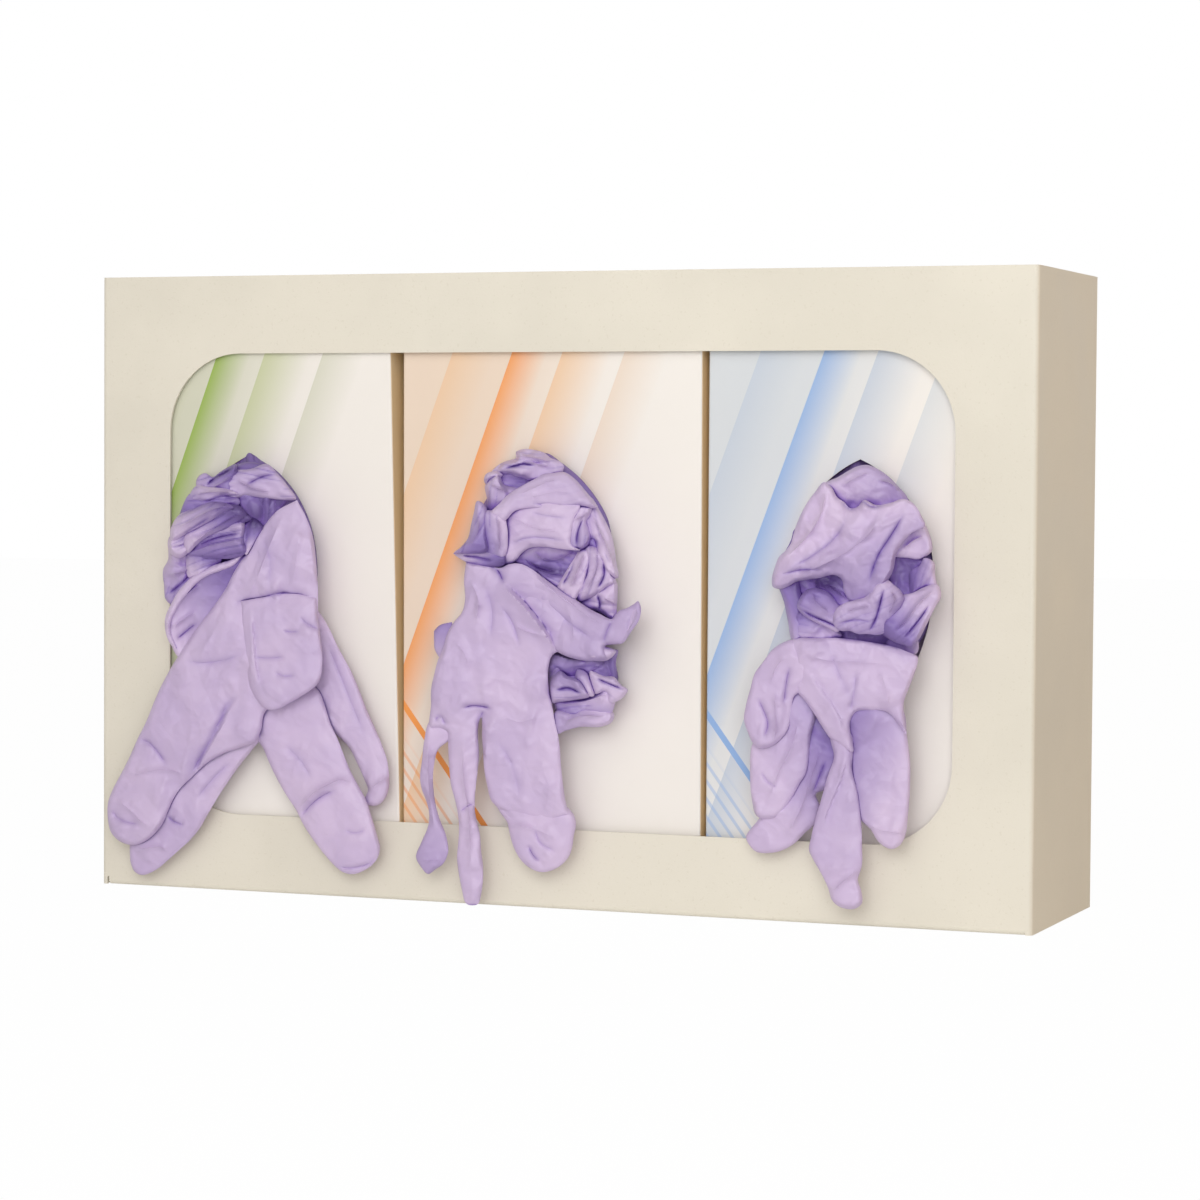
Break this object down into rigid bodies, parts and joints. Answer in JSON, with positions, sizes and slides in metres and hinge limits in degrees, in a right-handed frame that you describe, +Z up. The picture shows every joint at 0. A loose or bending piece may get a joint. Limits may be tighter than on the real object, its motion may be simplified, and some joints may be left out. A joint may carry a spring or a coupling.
{
  "type": "disposable glove dispenser",
  "caption": "Open-topped folded steel wall pocket with a round-cornered window that holds glove cartons on end, each with gloves hanging from its torn opening.",
  "frame": {"origin": "middle of the underside of the steel body", "axes": "+X to the right seen from the front, +Y towards the wall, +Z up"},
  "size_m": [0.402, 0.1196, 0.255],
  "materials": {
    "coated_steel": "fine powder coat, satin",
    "carton_board": "printed clay-coated board, tan at the raw edges",
    "nitrile": "thin smooth nitrile film, soft sheen"
  },
  "bodies": {
    "root": {"shell": "coated_steel", "back_panel": "coated_steel", "carton_left": "carton_board", "glove_stack_left": "nitrile", "next_glove_left": "nitrile", "hanging_glove_left": "nitrile", "carton_middle": "carton_board", "glove_stack_middle": "nitrile", "next_glove_middle": "nitrile", "hanging_glove_middle": "nitrile", "carton_right": "carton_board", "glove_stack_right": "nitrile", "next_glove_right": "nitrile", "hanging_glove_right": "nitrile"}
  },
  "joints": []
}
